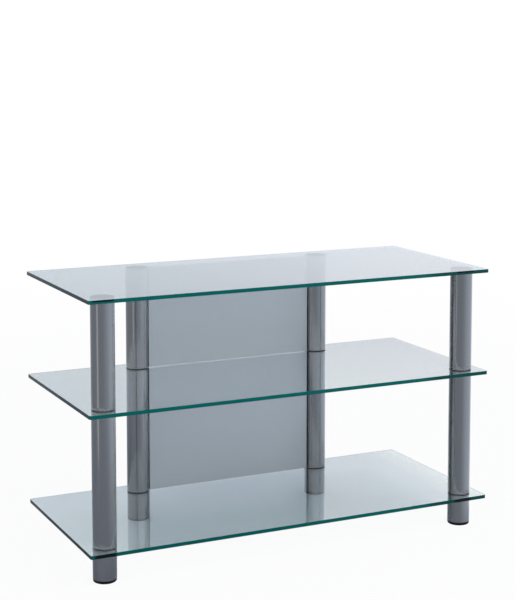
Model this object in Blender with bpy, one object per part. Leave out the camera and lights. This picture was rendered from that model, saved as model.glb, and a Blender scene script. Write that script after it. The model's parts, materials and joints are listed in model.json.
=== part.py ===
"""Glass television rack: three clear shelves clamped between round metal posts.

Each post is a stack, from the floor up: a levelling foot, a short foot tube,
the bottom shelf, a lower tube, the middle shelf, an upper tube and a metal
disc bonded under the top shelf. Moulded plugs close the tubes. The plug that
stands on a shelf has a threaded stud moulded in, which passes through a hole
drilled in the glass and screws into the plug below. The disc has a welded stud
that screws into the upper tube's top plug. The rear posts stand closer
together than the front ones and carry two folded sheet panels between them.

Metres, +Z up. The origin is on the floor under the middle of the shelves,
+X runs along the width and the front edge faces -Y.
"""

import math

import bmesh
import bpy
from mathutils import Matrix, Vector

# Overall size
RACK_WIDTH = 0.950
RACK_DEPTH = 0.420
FOOT_HEIGHT = 0.064
LOWER_BAY = 0.280
UPPER_BAY = 0.225

# Glass shelves
GLASS_THICKNESS = 0.008
GLASS_CORNER_RADIUS = 0.005
GLASS_ARRIS = 0.0005
GLASS_HOLE_CLEARANCE = 0.001

# Post tubes and where they stand, from the edges of the glass to their axes
TUBE_RADIUS = 0.025
TUBE_WALL = 0.0015
EDGE_INSET = 0.045
FRONT_SIDE_INSET = 0.045
REAR_SIDE_INSET = 0.245

# Moulded end plugs
FLANGE_THICKNESS = 0.0010
FLANGE_REVEAL = 0.0002
PLUG_DEPTH = 0.016
FIN_DEPTH = 0.0025
FIN_COUNT = 12
PLUG_LEAD_IN = 0.0006

# Threaded studs moulded into plugs and welded to discs
STUD_RADIUS = 0.005
STUD_REACH = 0.018
STUD_CHAMFER = 0.001

# Discs bonded under the top shelf
DISC_THICKNESS = 0.003

# Levelling feet
PAD_HEIGHT = 0.006
PAD_FLOOR = 0.002
PAD_REVEAL = 0.0004
PAD_ROUND = 0.003
SWIVEL_RADIUS = 0.0065
COLLAR_ACROSS_FLATS = 0.014
COLLAR_HEIGHT = 0.0027
SPINDLE_REACH_SHARE = 0.68

# Back panels of folded sheet
PANEL_DEPTH = 0.016
PANEL_SHEET = 0.0012
PANEL_FOLD_RADIUS = 0.002
PANEL_GLASS_GAP = 0.0015
LOWER_PANEL_SCREW_SHARES = (0.2, 0.8)
UPPER_PANEL_SCREW_SHARES = (0.5,)

# Screws that hold the panels to the rear tubes
SCREW_RADIUS = 0.002
SCREW_TIP = 0.004
SCREW_HEAD_RADIUS = 0.004
SCREW_HEAD_HEIGHT = 0.0024
SCREW_HEAD_ROUND = 0.0008

# Gap kept between two pieces that touch, and how far cutters overrun
SEAT_GAP = 0.0003
OVERRUN = 0.002

# Facets
ROUND_SIDES = 24
SMALL_SIDES = 12
HOLE_SIDES = 16
HEXAGON_SIDES = 6
CORNER_SEGMENTS = 5
FILLET_SEGMENTS = 3
FOLD_SEGMENTS = 2
CIRCULAR_PROFILE = 0.5
SHARP_ANGLE = math.radians(35)

# A face looks along an axis when that axis has at least this share of its normal
ALONG_AXIS = 0.5

# Heights of the undersides of the glass
BOTTOM_GLASS_Z = FOOT_HEIGHT
MIDDLE_GLASS_Z = BOTTOM_GLASS_Z + GLASS_THICKNESS + LOWER_BAY
TOP_GLASS_Z = MIDDLE_GLASS_Z + GLASS_THICKNESS + UPPER_BAY

# From a face of the glass, or of a levelling pad, to the end of the tube behind its flange
FLANGE_STACK = SEAT_GAP + FLANGE_THICKNESS + SEAT_GAP

POSTS = {
    "front_left": Vector((FRONT_SIDE_INSET - RACK_WIDTH / 2, EDGE_INSET - RACK_DEPTH / 2, 0)),
    "front_right": Vector((RACK_WIDTH / 2 - FRONT_SIDE_INSET, EDGE_INSET - RACK_DEPTH / 2, 0)),
    "rear_left": Vector((REAR_SIDE_INSET - RACK_WIDTH / 2, RACK_DEPTH / 2 - EDGE_INSET, 0)),
    "rear_right": Vector((RACK_WIDTH / 2 - REAR_SIDE_INSET, RACK_DEPTH / 2 - EDGE_INSET, 0)),
}


def clear_scene():
    for old in list(bpy.data.objects):
        bpy.data.objects.remove(old, do_unlink=True)


def make_material(name, colour, roughness, metallic=0.0, transmission=0.0):
    material = bpy.data.materials.new(name)
    material.use_nodes = True
    shader = material.node_tree.nodes["Principled BSDF"]
    shader.inputs["Base Color"].default_value = (*colour, 1.0)
    shader.inputs["Roughness"].default_value = roughness
    shader.inputs["Metallic"].default_value = metallic
    shader.inputs["Transmission Weight"].default_value = transmission
    return material


def circumradius(clear_radius, sides):
    """Radius to the corners of a polygon whose flats lie at clear_radius from its centre."""
    return clear_radius / math.cos(math.pi / sides)


def add_prism(bm, radius, low, high, sides):
    """Adds a closed upright prism of the given number of sides, a corner on +X."""
    made = bmesh.ops.create_circle(bm, cap_ends=True, segments=sides, radius=radius)
    floor = made["verts"][0].link_faces[0]
    bmesh.ops.rotate(bm, verts=made["verts"], matrix=Matrix.Rotation(-math.pi / 2, 3, "Z"))
    bmesh.ops.translate(bm, verts=made["verts"], vec=(0, 0, low))
    raised = bmesh.ops.extrude_face_region(bm, geom=[floor])["geom"]
    lifted = [v for v in raised if isinstance(v, bmesh.types.BMVert)]
    bmesh.ops.translate(bm, verts=lifted, vec=(0, 0, high - low))
    bmesh.ops.recalc_face_normals(bm, faces=bm.faces)


def rim_edges(bm, height):
    """Edges that lie all along one level, which are those round an end face."""
    return [e for e in bm.edges if all(abs(v.co.z - height) < SEAT_GAP / 2 for v in e.verts)]


def bevel_edges(bm, edges, offset, segments=1):
    """A chamfer with one segment, or a round with more."""
    bmesh.ops.bevel(
        bm, geom=edges, offset=offset, segments=segments, profile=CIRCULAR_PROFILE, affect="EDGES",
    )


def prism_mesh(radius, low, high, sides):
    bm = bmesh.new()
    add_prism(bm, radius, low, high, sides)
    return bm


def working_object(name, bm):
    mesh = bpy.data.meshes.new(name)
    bm.to_mesh(mesh)
    bm.free()
    item = bpy.data.objects.new(name, mesh)
    bpy.context.scene.collection.objects.link(item)
    return item


def combine(item, other_bm, operation):
    """Adds an exact Boolean of another mesh to item, whose helper is a hidden wire object."""
    helper = working_object(f"{item.name}_{operation.lower()}", other_bm)
    helper.hide_render = True
    helper.display_type = "WIRE"
    step = item.modifiers.new(operation.title(), "BOOLEAN")
    step.operation = operation
    step.solver = "EXACT"
    step.object = helper
    return helper


def finished_mesh(item, helpers):
    """The mesh that item's modifiers give; item and its helpers are then removed."""
    bpy.context.view_layer.update()
    evaluated = item.evaluated_get(bpy.context.evaluated_depsgraph_get())
    mesh = bpy.data.meshes.new_from_object(evaluated)
    for spent in [item, *helpers]:
        bpy.data.objects.remove(spent, do_unlink=True)
    return mesh


def place(name, mesh, material, location=(0, 0, 0), rotation=(0, 0, 0), parent=None):
    """Links one named piece to the scene, smooth on its round sides."""
    if not mesh.materials:
        mesh.materials.append(material)
    mesh.shade_smooth()
    mesh.set_sharp_from_angle(angle=SHARP_ANGLE)
    item = bpy.data.objects.new(name, mesh)
    item.location = location
    item.rotation_euler = rotation
    item.parent = parent
    bpy.context.scene.collection.objects.link(item)
    return item


def shelf_mesh(drilled):
    """A sheet of glass with rounded corners, ground arrises and, if drilled, a hole at each post."""
    bm = bmesh.new()
    bmesh.ops.create_cube(bm, size=1)
    bmesh.ops.scale(bm, verts=bm.verts, vec=(RACK_WIDTH, RACK_DEPTH, GLASS_THICKNESS))
    bmesh.ops.translate(bm, verts=bm.verts, vec=(0, 0, GLASS_THICKNESS / 2))
    upright = [e for e in bm.edges if abs(e.verts[0].co.z - e.verts[1].co.z) > GLASS_THICKNESS / 2]
    bevel_edges(bm, upright, GLASS_CORNER_RADIUS, CORNER_SEGMENTS)
    bevel_edges(bm, rim_edges(bm, 0) + rim_edges(bm, GLASS_THICKNESS), GLASS_ARRIS)
    sheet = working_object("shelf_blank", bm)
    if not drilled:
        return finished_mesh(sheet, [])
    holes = bmesh.new()
    hole_radius = circumradius(STUD_RADIUS + GLASS_HOLE_CLEARANCE, HOLE_SIDES)
    for spot in POSTS.values():
        hole = bmesh.new()
        add_prism(hole, hole_radius, -OVERRUN, GLASS_THICKNESS + OVERRUN, HOLE_SIDES)
        bmesh.ops.translate(hole, verts=hole.verts, vec=spot)
        append_mesh(holes, hole)
    return finished_mesh(sheet, [combine(sheet, holes, "DIFFERENCE")])


def append_mesh(target, extra):
    """Copies the closed shells of extra into target and frees extra."""
    carried = bpy.data.meshes.new("carried")
    extra.to_mesh(carried)
    extra.free()
    target.from_mesh(carried)
    bpy.data.meshes.remove(carried)


def screw_drills(inner, outer, heights, side=1):
    """Cutters for screw holes along X, from inner to outer, at each height on one side of the axis."""
    drills = bmesh.new()
    radius = circumradius(SCREW_RADIUS + SEAT_GAP, SMALL_SIDES)
    for height in heights:
        drill = prism_mesh(radius, inner, outer, SMALL_SIDES)
        bmesh.ops.rotate(drill, verts=drill.verts, matrix=Matrix.Rotation(side * math.pi / 2, 3, "Y"))
        bmesh.ops.translate(drill, verts=drill.verts, vec=(0, 0, height))
        append_mesh(drills, drill)
    return drills


def tube_mesh(length, hole_heights=()):
    """A tube standing on Z = 0, with holes on its +X side for the screws of a panel."""
    tube = working_object("tube_blank", prism_mesh(TUBE_RADIUS, 0, length, ROUND_SIDES))
    bore_radius = TUBE_RADIUS - TUBE_WALL
    helpers = [combine(tube, prism_mesh(bore_radius, -OVERRUN, length + OVERRUN, ROUND_SIDES), "DIFFERENCE")]
    if hole_heights:
        drills = screw_drills(bore_radius - OVERRUN, TUBE_RADIUS + OVERRUN, hole_heights)
        helpers.append(combine(tube, drills, "DIFFERENCE"))
    return finished_mesh(tube, helpers)


def finned_body(low, high):
    """The finned body of a plug: a star outline extruded, drawn in a little where it enters the tube."""
    tip = (TUBE_RADIUS - TUBE_WALL) * math.cos(math.pi / ROUND_SIDES) - SEAT_GAP
    root = tip - FIN_DEPTH
    bm = bmesh.new()
    outline = []
    for i in range(2 * FIN_COUNT):
        radius = tip if i % 2 == 0 else root
        angle = math.pi * i / FIN_COUNT
        outline.append(bm.verts.new((radius * math.cos(angle), radius * math.sin(angle), low)))
    base = bm.faces.new(outline)
    raised = bmesh.ops.extrude_face_region(bm, geom=[base])["geom"]
    lifted = [v for v in raised if isinstance(v, bmesh.types.BMVert)]
    bmesh.ops.translate(bm, verts=lifted, vec=(0, 0, high - low))
    drawn_in = (tip - PLUG_LEAD_IN) / tip
    bmesh.ops.scale(bm, verts=lifted, vec=(drawn_in, drawn_in, 1))
    bmesh.ops.recalc_face_normals(bm, faces=bm.faces)
    return bm


def stud_bore(low, high):
    return prism_mesh(circumradius(STUD_RADIUS + SEAT_GAP, SMALL_SIDES), low, high, SMALL_SIDES)


def flanged_plug():
    """A plug whose flange lies on Z = 0 and whose finned body points up into the tube."""
    plug = working_object("plug_blank", finned_body(FLANGE_THICKNESS / 2, plug_top()))
    flange = prism_mesh(TUBE_RADIUS - FLANGE_REVEAL, 0, FLANGE_THICKNESS, ROUND_SIDES)
    return plug, [combine(plug, flange, "UNION")]


def plug_top():
    return FLANGE_THICKNESS + PLUG_DEPTH


def bored_plug_mesh():
    """A flanged plug with a threaded bore, for the stud of the plug beyond the glass."""
    plug, helpers = flanged_plug()
    helpers.append(combine(plug, stud_bore(-OVERRUN, plug_top() + OVERRUN), "DIFFERENCE"))
    return finished_mesh(plug, helpers)


def foot_insert_mesh():
    """A bored plug for the foot of a post, with a recess that takes the spindle's collar."""
    plug, helpers = flanged_plug()
    helpers.append(combine(plug, stud_bore(-OVERRUN, plug_top() + OVERRUN), "DIFFERENCE"))
    recess_radius = circumradius(collar_radius() + SEAT_GAP, HOLE_SIDES)
    recess = prism_mesh(recess_radius, -OVERRUN, COLLAR_HEIGHT + SEAT_GAP, HOLE_SIDES)
    helpers.append(combine(plug, recess, "DIFFERENCE"))
    return finished_mesh(plug, helpers)


def studded_plug_mesh():
    """A flanged plug with a threaded stud moulded in, which points down through the glass."""
    plug, helpers = flanged_plug()
    stud = stud_mesh(-SEAT_GAP - GLASS_THICKNESS - STUD_REACH, FLANGE_THICKNESS + PLUG_DEPTH / 2)
    helpers.append(combine(plug, stud, "UNION"))
    return finished_mesh(plug, helpers)


def plain_plug_mesh():
    """A bored plug without a flange, flush with the tube's end at Z = 0, its body pointing up."""
    plug = working_object("plain_plug_blank", finned_body(0, PLUG_DEPTH))
    bore = stud_bore(-OVERRUN, PLUG_DEPTH + OVERRUN)
    return finished_mesh(plug, [combine(plug, bore, "DIFFERENCE")])


def stud_mesh(tip, root):
    """A threaded stud, drawn plain, chamfered at its lower end, the tip."""
    stud = prism_mesh(STUD_RADIUS, tip, root, SMALL_SIDES)
    bevel_edges(stud, rim_edges(stud, tip), STUD_CHAMFER)
    return stud


def disc_mesh():
    """A bonded disc with its glued face on Z = 0 and its welded stud pointing down."""
    disc = working_object("disc_blank", prism_mesh(TUBE_RADIUS, -DISC_THICKNESS, 0, ROUND_SIDES))
    stud = stud_mesh(-DISC_THICKNESS - STUD_REACH, -DISC_THICKNESS / 2)
    return finished_mesh(disc, [combine(disc, stud, "UNION")])


def pad_mesh():
    """A levelling pad standing on Z = 0, its lower rim rounded and a socket in its top."""
    bm = prism_mesh(TUBE_RADIUS - PAD_REVEAL, 0, PAD_HEIGHT, ROUND_SIDES)
    bevel_edges(bm, rim_edges(bm, 0), PAD_ROUND, FILLET_SEGMENTS)
    pad = working_object("pad_blank", bm)
    socket_radius = circumradius(SWIVEL_RADIUS + SEAT_GAP, SMALL_SIDES)
    socket = prism_mesh(socket_radius, PAD_FLOOR, PAD_HEIGHT + OVERRUN, SMALL_SIDES)
    return finished_mesh(pad, [combine(pad, socket, "DIFFERENCE")])


def collar_radius():
    """From the axis to a corner of the spindle's hexagonal collar."""
    return circumradius(COLLAR_ACROSS_FLATS / 2, HEXAGON_SIDES)


def spindle_mesh():
    """A levelling spindle: swivel end in the pad's socket, hexagonal collar and threaded shaft."""
    collar_low = PAD_HEIGHT + SEAT_GAP
    collar_high = collar_low + COLLAR_HEIGHT
    stud_end = BOTTOM_GLASS_Z - STUD_REACH
    shaft_top = collar_high + SPINDLE_REACH_SHARE * (stud_end - collar_high)
    shaft = prism_mesh(STUD_RADIUS, collar_low + COLLAR_HEIGHT / 2, shaft_top, SMALL_SIDES)
    bevel_edges(shaft, rim_edges(shaft, shaft_top), STUD_CHAMFER)
    spindle = working_object("spindle_blank", shaft)
    collar = prism_mesh(collar_radius(), collar_low, collar_high, HEXAGON_SIDES)
    swivel_low = PAD_FLOOR + SEAT_GAP
    swivel = prism_mesh(SWIVEL_RADIUS, swivel_low, collar_low + COLLAR_HEIGHT / 2, SMALL_SIDES)
    helpers = [combine(spindle, collar, "UNION"), combine(spindle, swivel, "UNION")]
    return finished_mesh(spindle, helpers)


def panel_half_width():
    """From the middle of a panel to the outside of its side flange, which lies against a tube."""
    return POSTS["rear_right"].x - TUBE_RADIUS - SEAT_GAP


def screw_heights(bay, shares):
    """Heights of a panel's screws above the foot of the bay that it fills."""
    height = bay - 2 * PANEL_GLASS_GAP
    return [PANEL_GLASS_GAP + share * height for share in shares]


def panel_mesh(bay, shares):
    """A sheet that fills a bay between the rear posts, with a flange folded back at either side.

    Z = 0 is the face of the glass below it, and Y = 0 is the plane of the rear
    posts' axes.
    """
    half_width = panel_half_width()
    height = bay - 2 * PANEL_GLASS_GAP
    bm = bmesh.new()
    bmesh.ops.create_cube(bm, size=1)
    bmesh.ops.scale(bm, verts=bm.verts, vec=(2 * half_width, PANEL_DEPTH, height))
    bmesh.ops.translate(bm, verts=bm.verts, vec=(0, 0, PANEL_GLASS_GAP + height / 2))
    open_faces = [f for f in bm.faces if f.normal.y > ALONG_AXIS or abs(f.normal.z) > ALONG_AXIS]
    bmesh.ops.delete(bm, geom=open_faces, context="FACES")
    folds = [e for e in bm.edges if not e.is_boundary]
    bevel_edges(bm, folds, PANEL_FOLD_RADIUS, FOLD_SEGMENTS)
    panel = working_object("panel_blank", bm)
    wall = panel.modifiers.new("Sheet", "SOLIDIFY")
    wall.thickness = PANEL_SHEET
    wall.offset = -1
    wall.use_even_offset = True
    heights = screw_heights(bay, shares)
    inner, outer = half_width - PANEL_SHEET - OVERRUN, half_width + OVERRUN
    drills = [screw_drills(inner, outer, heights, side) for side in (-1, 1)]
    return finished_mesh(panel, [combine(panel, drill, "DIFFERENCE") for drill in drills])


def screw_mesh():
    """A pan-head screw along +Z, whose shank ends inside a rear tube when its origin is mid-panel."""
    head_face = panel_half_width() - PANEL_SHEET - SEAT_GAP
    tip = POSTS["rear_right"].x - TUBE_RADIUS + TUBE_WALL + SCREW_TIP
    head = prism_mesh(SCREW_HEAD_RADIUS, head_face - SCREW_HEAD_HEIGHT, head_face, SMALL_SIDES)
    crown = rim_edges(head, head_face - SCREW_HEAD_HEIGHT)
    bevel_edges(head, crown, SCREW_HEAD_ROUND)
    screw = working_object("screw_blank", head)
    shank = prism_mesh(SCREW_RADIUS, head_face - SCREW_HEAD_HEIGHT / 2, tip, SMALL_SIDES)
    return finished_mesh(screw, [combine(screw, shank, "UNION")])


def build_shelves(glass):
    drilled = shelf_mesh(drilled=True)
    place("bottom_shelf_glass", drilled, glass, (0, 0, BOTTOM_GLASS_Z))
    place("middle_shelf_glass", drilled, glass, (0, 0, MIDDLE_GLASS_Z))
    place("top_shelf_glass", shelf_mesh(drilled=False), glass, (0, 0, TOP_GLASS_Z))


def build_tubes(aluminium):
    foot_low = PAD_HEIGHT + FLANGE_STACK
    foot_length = BOTTOM_GLASS_Z - FLANGE_STACK - foot_low
    lower_low = BOTTOM_GLASS_Z + GLASS_THICKNESS + FLANGE_STACK
    lower_length = MIDDLE_GLASS_Z - FLANGE_STACK - lower_low
    upper_low = MIDDLE_GLASS_Z + GLASS_THICKNESS + FLANGE_STACK
    upper_length = TOP_GLASS_Z - SEAT_GAP - DISC_THICKNESS - SEAT_GAP - upper_low
    foot = tube_mesh(foot_length)
    lower = tube_mesh(lower_length)
    upper = tube_mesh(upper_length)
    lower_screws = screw_heights(LOWER_BAY, LOWER_PANEL_SCREW_SHARES)
    upper_screws = screw_heights(UPPER_BAY, UPPER_PANEL_SCREW_SHARES)
    lower_drilled = tube_mesh(lower_length, [height - FLANGE_STACK for height in lower_screws])
    upper_drilled = tube_mesh(upper_length, [height - FLANGE_STACK for height in upper_screws])
    for post, spot in POSTS.items():
        rear = post.startswith("rear")
        turned = (0, 0, math.pi if post.endswith("right") else 0)
        place(f"foot_tube_{post}", foot, aluminium, spot + Vector((0, 0, foot_low)))
        place(
            f"lower_tube_{post}", lower_drilled if rear else lower, aluminium,
            spot + Vector((0, 0, lower_low)), turned,
        )
        place(
            f"upper_tube_{post}", upper_drilled if rear else upper, aluminium,
            spot + Vector((0, 0, upper_low)), turned,
        )


def build_plugs(plastic):
    studded = studded_plug_mesh()
    bored = bored_plug_mesh()
    plain = plain_plug_mesh()
    insert = foot_insert_mesh()
    upside_down = (math.pi, 0, 0)
    above_bottom = BOTTOM_GLASS_Z + GLASS_THICKNESS + SEAT_GAP
    above_middle = MIDDLE_GLASS_Z + GLASS_THICKNESS + SEAT_GAP
    under_bottom = BOTTOM_GLASS_Z - SEAT_GAP
    under_middle = MIDDLE_GLASS_Z - SEAT_GAP
    under_disc = TOP_GLASS_Z - SEAT_GAP - DISC_THICKNESS - SEAT_GAP
    for post, spot in POSTS.items():
        place(f"foot_insert_{post}", insert, plastic, spot + Vector((0, 0, PAD_HEIGHT + SEAT_GAP)))
        place(f"foot_top_plug_{post}", bored, plastic, spot + Vector((0, 0, under_bottom)), upside_down)
        place(f"lower_bottom_plug_{post}", studded, plastic, spot + Vector((0, 0, above_bottom)))
        place(f"lower_top_plug_{post}", bored, plastic, spot + Vector((0, 0, under_middle)), upside_down)
        place(f"upper_bottom_plug_{post}", studded, plastic, spot + Vector((0, 0, above_middle)))
        place(f"upper_top_plug_{post}", plain, plastic, spot + Vector((0, 0, under_disc)), upside_down)


def build_discs(aluminium):
    disc = disc_mesh()
    for post, spot in POSTS.items():
        place(f"bonded_disc_{post}", disc, aluminium, spot + Vector((0, 0, TOP_GLASS_Z - SEAT_GAP)))


def build_feet(plastic, steel):
    """Levelling feet: the pad slides along its post's axis and the spindle turns in the pad."""
    pad = pad_mesh()
    spindle = spindle_mesh()
    for post, spot in POSTS.items():
        axis = bpy.data.objects.new(f"foot_axis_{post}", None)
        axis.location = spot
        bpy.context.scene.collection.objects.link(axis)
        moving_pad = place(f"foot_pad_{post}", pad, plastic, parent=axis)
        place(f"foot_spindle_{post}", spindle, steel, parent=moving_pad)


def build_panels(sheet, steel):
    """The two panels between the rear posts, and the screws through their side flanges."""
    rear = POSTS["rear_right"].y
    screw = screw_mesh()
    bays = (
        ("lower", LOWER_BAY, BOTTOM_GLASS_Z + GLASS_THICKNESS, LOWER_PANEL_SCREW_SHARES),
        ("upper", UPPER_BAY, MIDDLE_GLASS_Z + GLASS_THICKNESS, UPPER_PANEL_SCREW_SHARES),
    )
    for name, bay, floor, shares in bays:
        place(f"{name}_back_panel", panel_mesh(bay, shares), sheet, (0, rear, floor))
        for number, height in enumerate(screw_heights(bay, shares), start=1):
            spot = (0, rear, floor + height)
            place(f"{name}_panel_screw_left_{number}", screw, steel, spot, (0, -math.pi / 2, 0))
            place(f"{name}_panel_screw_right_{number}", screw, steel, spot, (0, math.pi / 2, 0))


def main():
    clear_scene()
    glass = make_material("clear_glass", (0.80, 0.93, 0.91), 0.02, transmission=1.0)
    aluminium = make_material("satin_aluminium", (0.42, 0.43, 0.46), 0.35, metallic=1.0)
    plastic = make_material("black_plastic", (0.012, 0.012, 0.013), 0.45)
    steel = make_material("zinc_steel", (0.62, 0.63, 0.65), 0.30, metallic=1.0)
    sheet = make_material("silver_sheet", (0.40, 0.42, 0.46), 0.40, metallic=0.6)
    build_shelves(glass)
    build_tubes(aluminium)
    build_plugs(plastic)
    build_discs(aluminium)
    build_feet(plastic, steel)
    build_panels(sheet, steel)


main()
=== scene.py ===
import json
import math
from functools import partialmethod
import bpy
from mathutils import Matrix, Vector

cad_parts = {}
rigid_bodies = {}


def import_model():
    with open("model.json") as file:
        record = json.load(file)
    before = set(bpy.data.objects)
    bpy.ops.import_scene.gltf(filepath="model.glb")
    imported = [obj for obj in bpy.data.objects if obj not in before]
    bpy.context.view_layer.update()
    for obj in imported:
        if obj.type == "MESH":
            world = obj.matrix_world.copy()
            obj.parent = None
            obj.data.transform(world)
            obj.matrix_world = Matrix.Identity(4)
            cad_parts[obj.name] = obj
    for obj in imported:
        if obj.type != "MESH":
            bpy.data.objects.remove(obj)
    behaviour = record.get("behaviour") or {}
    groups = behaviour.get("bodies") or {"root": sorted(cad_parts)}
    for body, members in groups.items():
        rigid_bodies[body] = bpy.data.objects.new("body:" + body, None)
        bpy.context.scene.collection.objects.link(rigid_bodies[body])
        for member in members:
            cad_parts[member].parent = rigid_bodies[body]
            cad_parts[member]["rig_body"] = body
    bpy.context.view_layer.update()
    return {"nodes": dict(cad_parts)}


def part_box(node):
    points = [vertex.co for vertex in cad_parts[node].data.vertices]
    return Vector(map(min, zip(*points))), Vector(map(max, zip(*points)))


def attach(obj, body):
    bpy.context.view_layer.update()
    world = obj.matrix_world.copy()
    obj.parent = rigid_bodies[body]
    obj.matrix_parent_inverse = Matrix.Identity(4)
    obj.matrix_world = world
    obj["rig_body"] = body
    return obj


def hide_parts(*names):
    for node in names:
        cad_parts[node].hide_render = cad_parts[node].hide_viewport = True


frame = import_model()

from types import SimpleNamespace

import bmesh
import bpy
from mathutils import Matrix, Vector

bl_info = {
    "name": "Glass Television Rack",
    "version": (1, 0, 0),
    "blender": (4, 5, 0),
    "location": "View3D > Sidebar > Rack",
    "description": "Dresses a glass and aluminium television rack: shelves, posts, feet and back panels",
    "category": "Object",
}

POSTS = ("front_left", "front_right", "rear_left", "rear_right")
QUARTER = math.radians(90)
ACROSS = Matrix.Rotation(QUARTER, 4, "Y")
ROUND_SIDES = 96


def extent(node, axis=2):
    """Lowest and highest place of a node along an axis, or upward, in metres."""
    return [corner[axis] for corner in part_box(node)]


def thickness(node, axis):
    low, high = extent(node, axis)
    return high - low


def spot(node, height=0.0):
    """Where the axis of an upright round node passes a height."""
    low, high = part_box(node)
    middle = (low + high) / 2
    return Vector((middle.x, middle.y, height))


TUBE_RADIUS = thickness("upper_tube_front_left", 0) / 2
GLASS_THICKNESS = thickness("top_shelf_glass", 2)
SEAT_GAP = extent("top_shelf_glass")[0] - extent("bonded_disc_front_left")[1]


def number(name, description, default, **settings):
    return bpy.props.FloatProperty(name=name, description=description, default=default, min=0.0, **settings)


def metres(name, description, default):
    return number(name, description, default, unit="LENGTH", precision=5)


def factor(name, description, default, high=1.0):
    return number(name, description, default, max=high, subtype="FACTOR")


def rgb(name, description, default):
    return bpy.props.FloatVectorProperty(
        name=name, description=description, default=default, subtype="COLOR", size=3, min=0.0, max=10.0)


class RackSizes(bpy.types.PropertyGroup):
    """Sizes of the details that finish the frame's pieces"""
    glass_corner: metres("Glass Corner", "Radius of the shelves' corners", 0.005)
    glass_arris: metres("Glass Arris", "Width of the ground arrises along the glass edges", 0.0005)
    hole_radius: metres("Hole Radius", "Radius of the holes in the glass", 0.006)
    tube_wall: metres("Tube Wall", "Wall of the post tubes", 0.0015)
    tube_chamfer: metres("Tube Chamfer", "Deburred edge at the ends of the tubes", 0.0002)
    stud_radius: metres("Stud Radius", "Outer radius of the M10 threads", 0.005)
    stud_pitch: metres("Stud Pitch", "Pitch of the M10 threads", 0.0015)
    stud_taper: metres("Stud Taper", "Tapered end of the M10 threads", 0.001)
    flange_thickness: metres("Flange Thickness", "Flange of the moulded plugs", 0.0010)
    fin_depth: metres("Fin Depth", "Height of the fins on the moulded plugs", 0.0025)
    fin_count: bpy.props.IntProperty(name="Fins", description="Fins round a moulded plug", default=12, min=3, max=48)
    film_inset: metres("Film Inset", "From the rim of a disc to the rim of its adhesive", 0.0006)
    pad_round: metres("Pad Round", "Rounding of the lower rim of a levelling pad", 0.003)
    swivel_radius: metres("Swivel Radius", "Swivel end of a spindle, in the socket of its pad", 0.0065)
    collar_height: metres("Collar Height", "Hexagonal collar of a spindle", 0.0027)
    panel_sheet: metres("Panel Sheet", "Thickness of the folded back panels", 0.0012)
    panel_fold: metres("Panel Fold", "Outer radius of the panels' folds", 0.002)
    screw_radius: metres("Screw Radius", "Outer radius of the panel screws", 0.002)
    screw_pitch: metres("Screw Pitch", "Pitch of the panel screws", 0.0014)
    screw_head: metres("Screw Head", "Height of the panel screws' heads", 0.0024)


class RackColours(bpy.types.PropertyGroup):
    """Colours of the finishes"""
    glass_body: rgb("Glass Body", "Tint of what is seen straight through a shelf", (0.82, 0.90, 0.88))
    glass_slant: rgb("Slanting Glass", "Tint of what is seen through a shelf at a slant", (0.085, 0.087, 0.095))
    glass_edge: rgb("Glass Edge", "Polished edge seen square on", (0.001, 0.112, 0.100))
    glass_edge_slant: rgb("Slanting Edge", "Polished edge seen at a slant", (0.026, 0.036, 0.042))
    # Painted shade: the front edges' tint where a front post shows through and before the right post
    glass_edge_painted_shade: rgb("Deep Edge", "Polished edge in front of a post", (0.007, 0.011, 0.015))
    glass_arris: rgb("Arris", "Ground arris between a face and an edge", (0.006, 0.115, 0.102))
    tube: rgb("Tube", "Satin aluminium of the posts", (0.159, 0.168, 0.174))
    disc: rgb("Disc", "Turned aluminium under the top shelf", (0.159, 0.168, 0.174))
    film: rgb("Film", "Adhesive between the discs and the top shelf", (0.080, 0.066, 0.086))
    sheet: rgb("Sheet", "Silver coating of the back panels", (0.385, 0.415, 0.445))
    plug: rgb("Plug", "Moulded plugs in the tubes", (0.105, 0.108, 0.114))
    pad: rgb("Pad", "Moulded levelling pads", (0.004, 0.004, 0.0045))
    steel: rgb("Steel", "Zinc plated studs, spindles and screws", (0.42, 0.43, 0.45))
    floor: rgb("Floor", "Studio floor", (0.82, 0.84, 0.95))


class RackStudio(bpy.types.PropertyGroup):
    """Lights and floor of the studio"""
    backdrop: rgb("Backdrop", "What metal and glass mirror below the horizon", (0.76, 0.793, 0.874))
    back_sky: rgb("Back Sky", "What they mirror above the horizon, straight behind", (1.08, 1.19, 1.30))
    side_sky: rgb("Side Sky", "What they mirror above the horizon elsewhere", (1.32, 1.37, 1.48))
    softbox: rgb("Soft Light", "Broad light at the right, seen in the posts", (1.52, 1.61, 1.79))
    strip: rgb("Strip Light", "Narrow upright light at the left, seen in the posts", (2.0, 1.97, 1.98))
    second_mirror: factor("Second Mirror", "How bright the room is in a second mirror", 2.2, 4.0)
    ambient: factor("Ambient", "Even light on surfaces that don't mirror", 0.62, 4.0)
    key_power: number("Key Power", "Large lamp above, at the front right", 70.0, unit="POWER")
    fill_power: number("Fill Power", "Large lamp at the left", 24.0, unit="POWER")
    floor_lift: factor("Floor Lift", "Share of the floor's white that no shadow darkens", 0.93)
    floor_lift_through: factor("Floor Lift Through Glass", "The same where glass is in front of it", 0.03)


def sizes():
    return bpy.context.scene.rack_sizes


def colours():
    return bpy.context.scene.rack_colours


def studio():
    return bpy.context.scene.rack_studio


# Node building

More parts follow.
